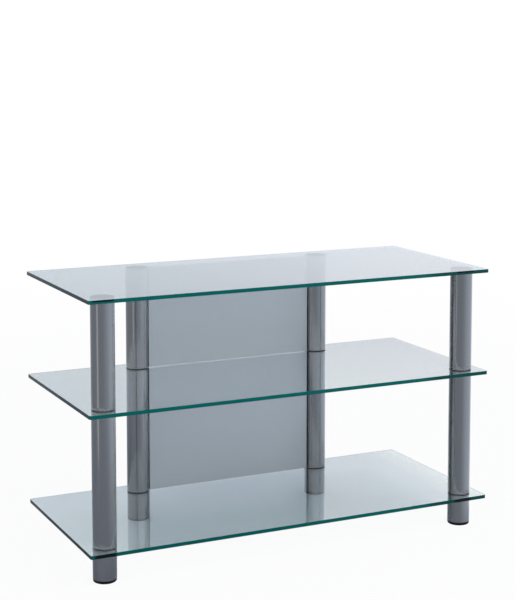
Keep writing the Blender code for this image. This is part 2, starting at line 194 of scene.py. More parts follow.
class Flow:
    """What a node gives out. Arithmetic with it adds the Math nodes that do the sum."""

    def __init__(self, socket):
        self.socket, self.tree = socket, socket.id_data

    def math(self, operation, *others):
        return add_node(self.tree, "ShaderNodeMath", dict(enumerate((self, *others))), operation=operation)

    __add__ = partialmethod(math, "ADD")
    __sub__ = partialmethod(math, "SUBTRACT")
    __mul__ = partialmethod(math, "MULTIPLY")
    __truediv__ = partialmethod(math, "DIVIDE")
    __abs__ = partialmethod(math, "ABSOLUTE")

    def ramp(self, from_low, from_high, to_low=0.0, to_high=1.0, smooth=False):
        """The value moved from one range to another, held at its ends."""
        values = {"Value": self, "From Min": from_low, "From Max": from_high, "To Min": to_low, "To Max": to_high}
        kind = "SMOOTHSTEP" if smooth else "LINEAR"
        return add_node(self.tree, "ShaderNodeMapRange", values, interpolation_type=kind)

    def blend(self, first, second):
        """The colour that lies this far from one colour to another."""
        colours_between = {0: self, 6: rgba(first), 7: rgba(second)}
        return add_node(self.tree, "ShaderNodeMix", colours_between, 2, data_type="RGBA")


def feed(socket, value):
    """Links a flow to a node's input, or sets the input to a plain value."""
    if isinstance(value, Flow):
        value.tree.links.new(value.socket, socket)
    else:
        socket.default_value = value


def add_node(tree, kind, values=None, out=0, **settings):
    """Adds a node, feeds its inputs and gives one of its outputs."""
    made = tree.nodes.new(kind)
    for name, value in settings.items():
        setattr(made, name, value)
    for key, value in (values or {}).items():
        feed(made.inputs[key], value)
    return Flow(made.outputs[out])


def rgba(colour):
    return colour if isinstance(colour, Flow) else (*colour, 1.0)


def split(vector):
    """The three parts of a vector."""
    made = add_node(vector.tree, "ShaderNodeSeparateXYZ", {0: vector})
    return [Flow(socket) for socket in made.socket.node.outputs]


def joined(x, y, z):
    return add_node(x.tree, "ShaderNodeCombineXYZ", {0: x, 1: y, 2: z})


def scaled(vector, share):
    return add_node(vector.tree, "ShaderNodeVectorMath", {0: vector, 3: share}, operation="SCALE")


def mixed_shader(share, first, second):
    return add_node(share.tree, "ShaderNodeMixShader", {0: share, 1: first, 2: second})


def socket_name(key):
    """The name of a socket, from the same words in lower case with underscores."""
    return key.replace("_", " ").title().replace("Ior", "IOR")


SOCKET_KINDS = {float: "NodeSocketFloat", int: "NodeSocketInt", type(None): "NodeSocketMaterial"}


def group_tree(name, outputs, **inputs):
    """A node group, its inputs as flows and its output sockets. None stands for a material."""
    shapes = "Geometry" in outputs
    tree = bpy.data.node_groups.new(name, "GeometryNodeTree" if shapes else "ShaderNodeTree")
    for key, default in inputs.items():
        made = tree.interface.new_socket(socket_name(key), in_out="INPUT", socket_type=SOCKET_KINDS[type(default)])
        if default is not None:
            made.default_value = default
    for output in outputs:
        socket_type = "NodeSocketGeometry" if shapes else "NodeSocketFloat"
        tree.interface.new_socket(output, in_out="OUTPUT", socket_type=socket_type)
    given = {key: Flow(socket) for key, socket in zip(inputs, tree.nodes.new("NodeGroupInput").outputs)}
    return tree, SimpleNamespace(**given), tree.nodes.new("NodeGroupOutput").inputs


# Shader groups shared by the finishes

def object_point(tree):
    return add_node(tree, "ShaderNodeTexCoord", out="Object")


def noise(point, scale, detail=2.0, roughness=0.5):
    values = {"Vector": point, "Scale": scale, "Detail": detail, "Roughness": roughness}
    return add_node(point.tree, "ShaderNodeTexNoise", values)


def handled_group():
    """Roughness that wanders a little over a surface, as handling and wiping leave it."""
    tree, given, out = group_tree("Handled Surface", ("Roughness", "Marks"), roughness=0.3, spread=0.05, scale=14.0)
    point = object_point(tree)
    broad = noise(point, given.scale, detail=3.0)
    fine = noise(point, given.scale * 7.0, detail=4.0, roughness=0.6)
    marks = broad * 0.65 + fine * 0.35
    feed(out["Roughness"], given.roughness + (marks - 0.5) * (given.spread * 2.0))
    feed(out["Marks"], marks)


def drawn_group():
    """Fine lines of metal work, as a height and a mask: upright ones of a die, or level ones of a lathe."""
    tree, given, out = group_tree("Drawn Lines", ("Height", "Mask"), across=900.0, upward=18.0)
    scales = {0: object_point(tree), 1: joined(given.across, given.across, given.upward)}
    height = noise(add_node(tree, "ShaderNodeVectorMath", scales, operation="MULTIPLY"), 1.0, roughness=0.6)
    feed(out["Height"], height)
    feed(out["Mask"], height.ramp(0.42, 0.62))


def grain_group():
    """The fine grain of a moulded or coated surface, as a height, and its grain tips as a mask."""
    tree, given, out = group_tree("Fine Grain", ("Height", "Mask"), scale=1800.0, softness=0.5)
    point = object_point(tree)
    values = {"Vector": point, "Scale": given.scale, "Smoothness": given.softness}
    cells = add_node(tree, "ShaderNodeTexVoronoi", values, "Distance", feature="SMOOTH_F1")
    feed(out["Height"], cells + noise(point, given.scale * 0.2) * 0.5)
    feed(out["Mask"], cells.ramp(0.2, 0.6))


def use_group(tree, name, **values):
    """Places one of the shared groups, with this finish's own values."""
    named = {socket_name(key): value for key, value in values.items()}
    made = add_node(tree, "ShaderNodeGroup", named, node_tree=bpy.data.node_groups[name])
    return {socket.name: Flow(socket) for socket in made.socket.node.outputs}


# Finishes

GLASS_IOR = 1.5
PLASTIC_IOR = 1.46
PLUG_SHINE, PAD_SHINE = 0.25, 0.06

# Turn from the eye, from 0 to 1, at which a surface begins and ends to change its look
GLASS_TURNS = (0.62, 0.81)
EDGE_TURNS = (0.18, 0.55)

# Painted shade: where the front edge grows darker before its right post, and how much
SHADE_FROM, SHADE_TO, SHADE_DEPTH = 5.2 * TUBE_RADIUS, 3.2 * TUBE_RADIUS, 0.5

# The painted shade of a front post on the front edge, where its dark plug or film would show through
# the glass: how far it is to the left and inward, and where its core and its rim end
MARK_LEFT, MARK_INWARD, MARK_CORE, MARK_RIM = (share * TUBE_RADIUS for share in (0.65, 0.1, 0.75, 1.1))

# Painted shade on the bottom shelf's edge: its brightness at the left and the right, as a share of the middle one's
BOTTOM_EDGE_SHADE = (0.79, 0.94)

# Scale of the level bands in the edges, and how far they are drawn out along them
BANDS, DRAWN_OUT = 700.0, 0.03


def finish(name, **values):
    """A new material: its node tree and its Principled shader, with the given values."""
    material = bpy.data.materials.new(name)
    material.use_nodes = True
    shader = material.node_tree.nodes["Principled BSDF"]
    paint(shader, **values)
    return material.node_tree, shader


def paint(shader, **values):
    """Feeds a shader's inputs by name."""
    for key, value in values.items():
        feed(shader.inputs[socket_name(key)], value)


def show(tree, flow):
    """Makes a shader the surface of its material."""
    feed(tree.nodes["Material Output"].inputs["Surface"], flow)


def facing(tree):
    return add_node(tree, "ShaderNodeLayerWeight", {"Blend": 0.5}, "Facing")


def shades(tint, low, high):
    """A tint at two shares of its brightness."""
    return [low * part for part in tint], [high * part for part in tint]


def clear_glass():
    """Faces of a shelf: clear float glass that keeps a trace of wiping marks."""
    tree, shader = finish("clear_float_glass", transmission_weight=1.0, ior=GLASS_IOR)
    handled = use_group(tree, "Handled Surface", roughness=0.004, spread=0.006, scale=9.0)
    tint = facing(tree).ramp(*GLASS_TURNS).blend(colours().glass_body, colours().glass_slant)
    wiped = scaled(tint, handled["Marks"] * 0.06 + 0.97)
    paint(shader, base_color=wiped, roughness=handled["Roughness"])


def polished_edge():
    """Ground and polished edge of a shelf: deep green square on, slate at a slant, with painted shade at the posts and
    on the bottom shelf.
    """
    tree, shader = finish("polished_glass_edge", ior=GLASS_IOR, specular_ior_level=0.04)
    x, y, z = split(object_point(tree))
    bands = noise(joined(x * DRAWN_OUT, y * DRAWN_OUT, z), BANDS, detail=3.0)
    green = bands.blend(*shades(colours().glass_edge, 0.82, 1.18))
    end = spot("lower_tube_front_right").x
    # Painted shade that deepens towards the right post, joined below with the painted post shade
    shade = x.ramp(end - SHADE_FROM, end - SHADE_TO, 0.0, SHADE_DEPTH, smooth=True)
    darker = shade.math("MAXIMUM", painted_post_shade(x, y, z)).blend(green, colours().glass_edge_painted_shade)
    turned_away = facing(tree).ramp(*EDGE_TURNS, smooth=True)
    tint = turned_away.blend(darker, colours().glass_edge_slant)
    # Painted shade: the bottom shelf's edge is darker than the others, most at the left
    lowest = x.ramp(-end / 2, end / 2, *BOTTOM_EDGE_SHADE)
    level = z.ramp(extent("bottom_shelf_glass")[0], extent("middle_shelf_glass")[0], lowest)
    paint(shader, base_color=scaled(tint, level), roughness=bands.ramp(0.3, 0.7, 0.05, 0.12))
    clear_from_inside(tree, shader)


def clear_from_inside(tree, shader):
    """Lets a ray that is already in the glass leave through this surface unbent."""
    inside = add_node(tree, "ShaderNodeNewGeometry", out="Backfacing")
    clear = add_node(tree, "ShaderNodeBsdfTransparent", {"Color": rgba(colours().glass_body)})
    show(tree, mixed_shader(inside, Flow(shader.outputs[0]), clear))


def painted_post_shade(x, y, z):
    """1 where painted shade stands for the plug or the film of a front post seen through the front edge.

    It shows in the bottom shelf, and in the upper half of the top one.
    """
    front = spot("lower_tube_front_right")
    beside = abs(x + MARK_LEFT) - (front.x - MARK_INWARD)
    near = abs(beside).ramp(MARK_CORE, MARK_RIM, 1.0, 0.0, smooth=True)
    ahead = y.math("LESS_THAN", front.y - TUBE_RADIUS / 2)
    low = z.math("LESS_THAN", extent("bottom_shelf_glass")[1] + SEAT_GAP)
    high = z.math("GREATER_THAN", sum(extent("top_shelf_glass")) / 2)
    return near * ahead * (low + high)


def ground_arris():
    """Narrow chamfers between the faces and the edges of a shelf, and the walls of its holes."""
    tree, shader = finish("ground_glass_arris", ior=GLASS_IOR, specular_ior_level=0.06)
    tips = use_group(tree, "Fine Grain", scale=5200.0, softness=0.3)["Mask"]
    tint = tips.blend(*shades(colours().glass_arris, 0.9, 1.0))
    paint(shader, base_color=tint, roughness=tips.ramp(0.0, 1.0, 0.30, 0.42))
    clear_from_inside(tree, shader)


def surface(name, tints, handled, texture=None, texture_values=None, relief=None, **values):
    """A finish between two tints, by a fine texture or its handling marks, whose roughness wanders."""
    tree, shader = finish(name, **values)
    marks = use_group(tree, "Handled Surface", **handled)
    fine = use_group(tree, texture, **texture_values) if texture else {"Mask": marks["Marks"]}
    paint(shader, base_color=fine["Mask"].blend(*tints), roughness=marks["Roughness"])
    if relief:
        paint(shader, normal=add_node(tree, "ShaderNodeBump", {"Height": fine["Height"], **relief}))


def satin_aluminium(name, tint, roughness, across, upward):
    """Satin anodised aluminium with faint lines, as many in a metre as are given across and upward."""
    surface(
        name, shades(tint, 0.97, 1.03), {"roughness": roughness, "spread": 0.008, "scale": 16.0},
        "Drawn Lines", {"across": across, "upward": upward}, {"Strength": 0.02, "Distance": 0.00002}, metallic=1.0)


def moulded_plastic(name, tint, shine):
    """Dark moulded plastic with a fine spark grain."""
    surface(
        name, shades(tint, 1.0, 1.6), {"roughness": 0.46, "spread": 0.06, "scale": 60.0},
        "Fine Grain", {"scale": 2600.0, "softness": 0.4}, {"Strength": 0.25, "Distance": 0.00005},
        ior=PLASTIC_IOR, specular_ior_level=shine)


def coated_sheet():
    """Silver coating of the back panels, with a fine orange peel."""
    tints = shades(colours().sheet, 0.96, 1.05)
    surface(
        "silver_coated_sheet", tints, {"roughness": 0.40, "spread": 0.03, "scale": 11.0},
        "Fine Grain", {"scale": 1500.0, "softness": 0.9}, {"Strength": 0.10, "Distance": 0.00003},
        metallic=0.55, coat_weight=0.12, coat_roughness=0.25)


def zinc_steel():
    """Bright zinc plate with a faint warm and cool mottle."""
    red, green, blue = colours().steel
    tints = colours().steel, (1.06 * red, green, 0.90 * blue)
    surface("zinc_plated_steel", tints, {"roughness": 0.28, "spread": 0.08, "scale": 90.0}, metallic=1.0)


class RACK_OT_make_finishes(bpy.types.Operator):
    """Make the finishes of the rack and the shared node groups they are built from"""
    bl_idname = "rack.make_finishes"
    bl_label = "Make Finishes"

    def execute(self, context):
        handled_group()
        drawn_group()
        grain_group()
        clear_glass()
        polished_edge()
        ground_arris()
        satin_aluminium("satin_aluminium_tube", colours().tube, roughness=0.2, across=1100.0, upward=13.0)
        satin_aluminium("turned_aluminium", colours().disc, roughness=0.26, across=13.0, upward=2600.0)
        cured = {"roughness": 0.35, "spread": 0.1, "scale": 120.0}
        surface("adhesive_film", shades(colours().film, 0.9, 1.1), cured, ior=GLASS_IOR)
        coated_sheet()
        moulded_plastic("moulded_plug_plastic", colours().plug, PLUG_SHINE)
        moulded_plastic("moulded_pad_plastic", colours().pad, PAD_SHINE)
        zinc_steel()
        return {"FINISHED"}


# Mesh building

def place(name, data):
    """Puts an object with this data in the scene."""
    item = bpy.data.objects.new(name, data)
    bpy.context.scene.collection.objects.link(item)
    return item


def baked_mesh(item, *helpers):
    """The plain mesh that an object's modifiers give. The object and its helpers are removed."""
    bpy.context.view_layer.update()
    evaluated = item.evaluated_get(bpy.context.evaluated_depsgraph_get())
    mesh = bpy.data.meshes.new_from_object(evaluated)
    for spent in (item, *helpers):
        bpy.data.objects.remove(spent, do_unlink=True)
    return mesh


def grow(tree, **values):
    """The mesh that a Geometry Nodes tree makes from its named inputs."""
    item = place(tree.name, bpy.data.meshes.new(tree.name))
    nodes = item.modifiers.new("Nodes", "NODES")
    nodes.node_group = tree
    sockets = {s.name: s.identifier for s in tree.interface.items_tree if s.in_out == "INPUT"}
    for key, value in values.items():
        nodes[sockets[socket_name(key)]] = value
    return baked_mesh(item)


def boolean(mesh, others, operation):
    """The exact union or difference of a mesh with others."""
    item = place("blank", mesh)
    helpers = [place("helper", other) for other in others]
    for helper in helpers:
        step = item.modifiers.new(operation, "BOOLEAN")
        step.operation, step.solver, step.object = operation, "EXACT", helper
    return baked_mesh(item, *helpers)


def mesh_from(bm, name):
    mesh = bpy.data.meshes.new(name)
    bmesh.ops.recalc_face_normals(bm, faces=bm.faces)
    bm.to_mesh(mesh)
    bm.free()
    return mesh


def shift(mesh, offset, turn=Matrix.Identity(4)):
    """Turns a mesh, then moves it."""
    mesh.transform(Matrix.Translation(offset) @ turn)
    return mesh


def block(size):
    bm = bmesh.new()
    bmesh.ops.create_cube(bm, size=1)
    bmesh.ops.scale(bm, verts=bm.verts, vec=size)
    return bm


def flat_piece(name, width, depth, finish_name):
    """Puts a flat rectangle with a finish in the scene."""
    x, y = width / 2, depth / 2
    mesh = bpy.data.meshes.new(name)
    mesh.from_pydata([(-x, -y, 0), (x, -y, 0), (x, y, 0), (-x, y, 0)], [], [(0, 1, 2, 3)])
    coat(mesh, finish_name)
    return place(name, mesh)


def arc(x, y, radius, start, end, steps):
    """Points along part of a circle, its angles in degrees from the first axis to the second."""
    angles = [math.radians(start + (end - start) * i / steps) for i in range(steps + 1)]
    return [(x + radius * math.cos(a), y + radius * math.sin(a)) for a in angles]


def circle(radius, steps, x=0.0, y=0.0):
    return arc(x, y, radius, 0, 360, steps)[:-1]


def turned(profile, sides):
    """A closed solid turned round Z from (radius, height) points that start and end on the axis."""
    bm = bmesh.new()
    rings = []
    for radius, height in profile:
        points = circle(radius, sides) if radius else [(0, 0)]
        rings.append([bm.verts.new((x, y, height)) for x, y in points])
    for low, high in zip(rings, rings[1:]):
        for i in range(sides):
            j = (i + 1) % sides
            corners = [low[i % len(low)], low[j % len(low)], high[j % len(high)], high[i % len(high)]]
            bm.faces.new(dict.fromkeys(corners))
    return mesh_from(bm, "turned")


def rod(radius, low, high, sides):
    return turned([(0, low), (radius, low), (radius, high), (0, high)], sides)


def chamfered_rod(radius, low, high, chamfer, sides):
    profile = [(0, low), (radius - chamfer, low), (radius, low + chamfer)]
    profile += [(radius, high - chamfer), (radius - chamfer, high), (0, high)]
    return turned(profile, sides)


def coat(mesh, finish_name):
    mesh.materials.clear()
    mesh.materials.append(bpy.data.materials[finish_name])


def seat(name, mesh, finish_name, node, smooth_angle=35.0):
    """Shows a mesh as the piece that stands for a CAD node, on that node's body."""
    item = place(name, mesh)
    if finish_name:
        coat(mesh, finish_name)
    mesh.shade_smooth()
    mesh.set_sharp_from_angle(angle=math.radians(smooth_angle))
    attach(item, frame["nodes"][node]["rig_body"])
    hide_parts(node)
    return item


# Geometry Nodes for what repeats or follows a rule

THREAD_SIDES = 24
THREAD_ROWS = 8

# A thread's depth in pitches, and where along its slope the crest ends and the root begins
THREAD_DEPTH, THREAD_CREST, THREAD_ROOT = 0.58, 0.12, 0.88

# Points of a fin and the valley beside it, and how many of them are on its crest
FIN_POINTS, CREST_POINTS = 6, 2


def close_tree(given, out, geometry):
    """Realizes what a tree made and gives it its material."""
    tree = geometry.tree
    real = add_node(tree, "GeometryNodeRealizeInstances", {"Geometry": geometry})
    feed(out["Geometry"], add_node(tree, "GeometryNodeSetMaterial", {"Geometry": real, "Material": given.material}))
    return tree


def tube_tree():
    """A post tube: its wall section, with deburred corners, swept round the axis."""
    tree, given, out = group_tree(
        "Post Tube", ("Geometry",), radius=0.025, wall=0.0015, length=0.2, chamfer=0.0003, sides=96, material=None)
    section = add_node(tree, "GeometryNodeCurvePrimitiveQuadrilateral", {"Width": given.wall, "Height": given.length})
    deburred = add_node(
        tree, "GeometryNodeFilletCurve", {"Curve": section, "Count": 1, "Radius": given.chamfer}, mode="POLY")
    path = add_node(
        tree, "GeometryNodeCurvePrimitiveCircle",
        {"Resolution": given.sides, "Radius": given.radius - given.wall * 0.5})
    wall = add_node(tree, "GeometryNodeCurveToMesh", {"Curve": path, "Profile Curve": deburred})
    lift = add_node(tree, "ShaderNodeCombineXYZ", {2: given.length * 0.5})
    return close_tree(given, out, add_node(tree, "GeometryNodeTransform", {"Geometry": wall, "Translation": lift}))


def blank_cylinder(tree, given, sides, rows):
    """A cylinder up from Z = 0: its mesh, and how far its points are along X and Y and up."""
    values = {"Vertices": sides, "Side Segments": rows, "Radius": given.radius, "Depth": given.length}
    blank = add_node(tree, "GeometryNodeMeshCylinder", values, "Mesh", fill_type="NGON")
    x, y, z = split(add_node(tree, "GeometryNodeInputPosition"))
    return blank, x, y, z + given.length * 0.5


def reshape(given, out, blank, x, y, height, radius):
    """Ends a tree with its cylinder's points set at their heights and at radii of their own."""
    share = radius / given.radius
    values = {"Geometry": blank, "Position": joined(x * share, y * share, height)}
    return close_tree(given, out, add_node(blank.tree, "GeometryNodeSetPosition", values))


def thread_tree():
    """A threaded rod up from Z = 0: a fine cylinder whose radius follows a helix."""
    tree, given, out = group_tree(
        "Threaded Rod", ("Geometry",), radius=0.005, depth=0.0009, pitch=0.0015,
        length=0.02, low_taper=0.001, high_taper=0.0, sides=24, rows=96, material=None)
    blank, x, y, height = blank_cylinder(tree, given, given.sides, given.rows)
    turn = y.math("ARCTAN2", x) / (2 * math.pi)
    valley = abs((height / given.pitch - turn).math("FRACT") * 2.0 - 1.0)
    radius = given.radius - given.depth * valley.ramp(THREAD_CREST, THREAD_ROOT)
    for taper, from_end in ((given.low_taper, height), (given.high_taper, given.length - height)):
        missing = (taper - from_end).math("MAXIMUM", 0.0)
        radius = radius.math("MINIMUM", given.radius - missing)
    return reshape(given, out, blank, x, y, height, radius)


def fin_tree():
    """The finned body of a plug, up from Z = 0, drawn in towards its upper end."""
    tree, given, out = group_tree(
        "Finned Body", ("Geometry",), radius=0.023, fin_depth=0.0025, fins=12, length=0.016, draw=0.0006, material=None)
    blank, x, y, height = blank_cylinder(tree, given, given.fins * FIN_POINTS, 1)
    place_in_fin = add_node(tree, "GeometryNodeInputIndex").math("MODULO", FIN_POINTS)
    in_valley = place_in_fin.math("GREATER_THAN", CREST_POINTS - 0.5)
    cut = in_valley * given.fin_depth + given.draw * (height / given.length)
    return reshape(given, out, blank, x, y, height, given.radius - cut)


def threaded(radius, pitch, length, low_taper=0.0, high_taper=0.0):
    """A threaded rod up from Z = 0."""
    tree = bpy.data.node_groups.get("Threaded Rod") or thread_tree()
    return grow(
        tree, radius=radius, depth=pitch * THREAD_DEPTH, pitch=pitch, length=length,
        low_taper=low_taper, high_taper=high_taper, sides=THREAD_SIDES,
        rows=max(1, round(length / pitch * THREAD_ROWS)), material=bpy.data.materials["zinc_plated_steel"])


def stud(length, **tapers):
    return threaded(sizes().stud_radius, sizes().stud_pitch, length, **tapers)


# Shelves

HOLE_STEPS = 48
CORNER_STEPS = 12
FACE_LIMIT = 0.99
EDGE_LIMIT = 0.3


def rounded_outline(half, radius, steps):
    """Corner points of a rectangle with round corners, anticlockwise."""
    points = []
    for start, x, y in ((0, 1, 1), (90, -1, 1), (180, -1, -1), (270, 1, -1)):
        points += arc(x * (half.x - radius), y * (half.y - radius), radius, start, start + 90, steps)
    return points


def plate_mesh(outlines, depth, arris):
    """A plate up from Z = 0 with the given outline and holes, all its rims chamfered."""
    curve = bpy.data.curves.new("plate", "CURVE")
    curve.dimensions, curve.fill_mode, curve.bevel_resolution = "2D", "BOTH", 0
    curve.extrude, curve.bevel_depth, curve.offset = depth / 2 - arris, arris, -arris
    for outline in outlines:
        spline = curve.splines.new("POLY")
        spline.points.add(len(outline) - 1)
        for point, (x, y) in zip(spline.points, outline):
            point.co = (x, y, 0, 1)
        spline.use_cyclic_u = True
    mesh = shift(baked_mesh(place("plate", curve)), (0, 0, depth / 2))
    bpy.data.curves.remove(curve)
    bm = bmesh.new()
    bm.from_mesh(mesh)
    bpy.data.meshes.remove(mesh)
    bmesh.ops.remove_doubles(bm, verts=bm.verts, dist=arris / 50)
    return bm


def shelf_piece(shelf):
    """One shelf. Its faces, its polished edges, and its arrises and holes each have their own finish."""
    node = f"{shelf}_shelf_glass"
    low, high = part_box(node)
    half = (high - low) / 2
    outlines = [rounded_outline(half, sizes().glass_corner, CORNER_STEPS)]
    if shelf != "top":
        for post in POSTS:
            x, y, _ = spot(f"lower_tube_{post}")
            outlines.append(circle(sizes().hole_radius, HOLE_STEPS, x, y))
    mesh = mesh_from(plate_mesh(outlines, high.z - low.z, sizes().glass_arris), node)
    shift(mesh, (0, 0, low.z))
    for name in ("clear_float_glass", "polished_glass_edge", "ground_glass_arris"):
        mesh.materials.append(bpy.data.materials[name])
    for face in mesh.polygons:
        upright = abs(face.normal.z)
        to_rim = min(half.x - abs(face.center.x), half.y - abs(face.center.y))
        on_edge = upright < EDGE_LIMIT and to_rim < TUBE_RADIUS / 2
        face.material_index = 0 if upright > FACE_LIMIT else 1 if on_edge else 2
    return seat(f"{shelf}_shelf", mesh, None, node, smooth_angle=30.0)


class RACK_OT_make_shelves(bpy.types.Operator):
    """Make the three glass shelves with polished edges, ground arrises and drilled holes"""
    bl_idname = "rack.make_shelves"
    bl_label = "Make Shelves"

    def execute(self, context):
        for shelf in ("top", "middle", "bottom"):
            shelf_piece(shelf)
        return {"FINISHED"}


# Posts

RIM_SHARE = 0.2
LOWER_STEPS, RIM_STEPS = 8, 4

PLUG_KINDS = (
    "upper_bottom_plug", "lower_bottom_plug", "lower_top_plug", "foot_top_plug", "foot_insert", "upper_top_plug")


def screw_heights(stretch, side):
    """Heights of the frame's screws between a panel and the rear tube on one side."""
    names = [n for n in frame["nodes"] if n.startswith(f"{stretch}_panel_screw_{side}")]
    return [sum(extent(n)) / 2 for n in names]


def drilled(mesh, wall, places):
    """A mesh with a screw hole along X through a wall at each place."""
    drill = rod(sizes().screw_radius + SEAT_GAP, -2 * wall, 2 * wall, THREAD_SIDES)
    return boolean(mesh, [shift(drill.copy(), place, ACROSS) for place in places], "DIFFERENCE")


def tube_piece(stretch, post):
    node = f"{stretch}_tube_{post}"
    low, high = extent(node)
    tree = bpy.data.node_groups.get("Post Tube") or tube_tree()
    mesh = grow(
        tree, radius=TUBE_RADIUS, wall=sizes().tube_wall, length=high - low, chamfer=sizes().tube_chamfer,
        sides=ROUND_SIDES, material=bpy.data.materials["satin_aluminium_tube"])
    shift(mesh, spot(node, low))
    row, side = post.split("_")
    if row == "rear" and stretch != "foot":
        x, y, _ = spot(node)
        x += (1 if side == "left" else -1) * (TUBE_RADIUS - sizes().tube_wall / 2)
        mesh = drilled(mesh, sizes().tube_wall, [(x, y, z) for z in screw_heights(stretch, side)])
    return seat(f"{stretch}_post_tube_{post}", mesh, "satin_aluminium_tube", node)


class RACK_OT_make_tubes(bpy.types.Operator):
    """Make the twelve aluminium tubes of the posts"""
    bl_idname = "rack.make_tubes"
    bl_label = "Make Tubes"

    def execute(self, context):
        for stretch in ("upper", "lower", "foot"):
            for post in POSTS:
                tube_piece(stretch, post)
        return {"FINISHED"}


def disc_piece(post):
    """A bonded disc with its welded stud, and the film of adhesive over it."""
    node = f"bonded_disc_{post}"
    low, high = extent(node)
    disc_low = extent(f"upper_tube_{post}")[1] + SEAT_GAP
    plate = chamfered_rod(TUBE_RADIUS, disc_low, high, sizes().tube_chamfer, ROUND_SIDES)
    shaft = shift(stud((disc_low + high) / 2 - low, low_taper=sizes().stud_taper), (0, 0, low))
    mesh = shift(boolean(plate, [shaft], "UNION"), spot(node))
    seat(f"top_disc_{post}", mesh, "turned_aluminium", node)
    film_top = extent("top_shelf_glass")[0] + SEAT_GAP / 6
    film = shift(rod(TUBE_RADIUS - sizes().film_inset, high, film_top, ROUND_SIDES), spot(node))
    coat(film, "adhesive_film")
    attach(place(f"adhesive_film_{post}", film), frame["nodes"][node]["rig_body"])


class RACK_OT_make_discs(bpy.types.Operator):
    """Make the discs bonded under the top shelf, with their studs and adhesive"""
    bl_idname = "rack.make_discs"
    bl_label = "Make Discs"

    def execute(self, context):
        for post in POSTS:
            disc_piece(post)
        return {"FINISHED"}


def plug_blank(flange, depth):
    """A plug whose flange, if it has one, lies on Z = 0, and whose finned body points up."""
    tree = bpy.data.node_groups.get("Finned Body") or fin_tree()
    body = grow(
        tree, radius=(TUBE_RADIUS - sizes().tube_wall) - SEAT_GAP, fin_depth=sizes().fin_depth,
        fins=sizes().fin_count, length=depth - flange / 2, draw=2 * SEAT_GAP,
        material=bpy.data.materials["moulded_plug_plastic"])
    if not flange:
        return body
    plate = chamfered_rod(TUBE_RADIUS - SEAT_GAP / 2, 0, flange, flange * RIM_SHARE, ROUND_SIDES)
    return boolean(shift(body, (0, 0, flange / 2)), [plate], "UNION")


def plug_bores(kind, post, length):
    """What is cut from a bored plug: the stud's bore, and in the foot the recess for the collar."""
    bores = [rod(sizes().stud_radius + SEAT_GAP, -GLASS_THICKNESS, length + GLASS_THICKNESS, THREAD_SIDES)]
    if kind == "foot_insert":
        collar = thickness(f"foot_spindle_{post}", 0) / 2 + SEAT_GAP
        bores.append(rod(collar, -GLASS_THICKNESS, sizes().collar_height + SEAT_GAP, THREAD_SIDES * 2))
    return bores


def plug_piece(kind, post):
    """One moulded plug: with a stud moulded in at the bottom of a tube, elsewhere bored for a stud."""
    node = f"{kind}_{post}"
    low, high = extent(node)
    flange = 0.0 if kind == "upper_top_plug" else sizes().flange_thickness
    if not kind.endswith("_bottom_plug"):
        mesh = boolean(plug_blank(flange, high - low), plug_bores(kind, post, high - low), "DIFFERENCE")
        if kind.endswith("_top_plug"):
            shift(mesh, spot(node, high), Matrix.Rotation(math.pi, 4, "X"))
        else:
            shift(mesh, spot(node, low))
        return seat(f"moulded_{node}", mesh, "moulded_plug_plastic", node)
    shelf = "middle_shelf_glass" if kind.startswith("upper") else "bottom_shelf_glass"
    shoulder = extent(shelf)[1] + SEAT_GAP
    mesh = shift(plug_blank(flange, high - shoulder), spot(node, shoulder))
    coat(mesh, "moulded_plug_plastic")
    shaft = shift(stud(shoulder + flange - low, low_taper=sizes().stud_taper), spot(node, low))
    return seat(f"moulded_{node}", boolean(mesh, [shaft], "UNION"), None, node)


class RACK_OT_make_plugs(bpy.types.Operator):
    """Make the moulded plugs in the ends of the tubes, with the studs moulded into them"""
    bl_idname = "rack.make_plugs"
    bl_label = "Make Plugs"

    def execute(self, context):
        for post in POSTS:
            for kind in PLUG_KINDS:
                plug_piece(kind, post)
        return {"FINISHED"}


# Feet

def pad_piece(post):
    """A levelling pad with a rounded lower rim and the socket that the spindle turns in."""
    node = f"foot_pad_{post}"
    low, high = extent(node)
    radius = thickness(node, 0) / 2
    fillet = sizes().pad_round
    rim = fillet * RIM_SHARE
    socket = extent(f"foot_spindle_{post}")[0] - SEAT_GAP
    profile = [(0, low)] + arc(radius - fillet, low + fillet, fillet, -90, 0, LOWER_STEPS)
    profile += arc(radius - rim, high - rim, rim, 0, 90, RIM_STEPS)
    swivel = sizes().swivel_radius + SEAT_GAP / 2
    profile += [(swivel + rim, high), (swivel, high - rim), (swivel, socket), (0, socket)]
    mesh = shift(turned(profile, ROUND_SIDES), spot(node))
    return seat(f"levelling_pad_{post}", mesh, "moulded_pad_plastic", node)


def spindle_piece(post):
    """A levelling spindle: swivel end, hexagonal collar and threaded shaft."""
    node = f"foot_spindle_{post}"
    low, high = extent(node)
    collar_low = extent(f"foot_pad_{post}")[1] + SEAT_GAP
    collar_high = collar_low + sizes().collar_height
    middle = (collar_low + collar_high) / 2
    swivel = chamfered_rod(sizes().swivel_radius, low, middle, SEAT_GAP / 2, THREAD_SIDES * 2)
    collar = chamfered_rod(thickness(node, 0) / 2, collar_low, collar_high, SEAT_GAP, 6)
    shaft = shift(stud(high - middle, high_taper=sizes().stud_taper), (0, 0, middle))
    mesh = shift(boolean(shaft, [collar, swivel], "UNION"), spot(node))
    return seat(f"levelling_spindle_{post}", mesh, "zinc_plated_steel", node, smooth_angle=28.0)


class RACK_OT_make_feet(bpy.types.Operator):
    """Make the levelling pads and their spindles"""
    bl_idname = "rack.make_feet"
    bl_label = "Make Feet"

    def execute(self, context):
        for post in POSTS:
            pad_piece(post)
            spindle_piece(post)
        return {"FINISHED"}


# Back panels

BAY_SHELVES = {"upper": ("middle", "top"), "lower": ("bottom", "middle")}
FOLD_STEPS = 8
ROUND_PROFILE = 0.5
ALONG_AXIS = 0.5

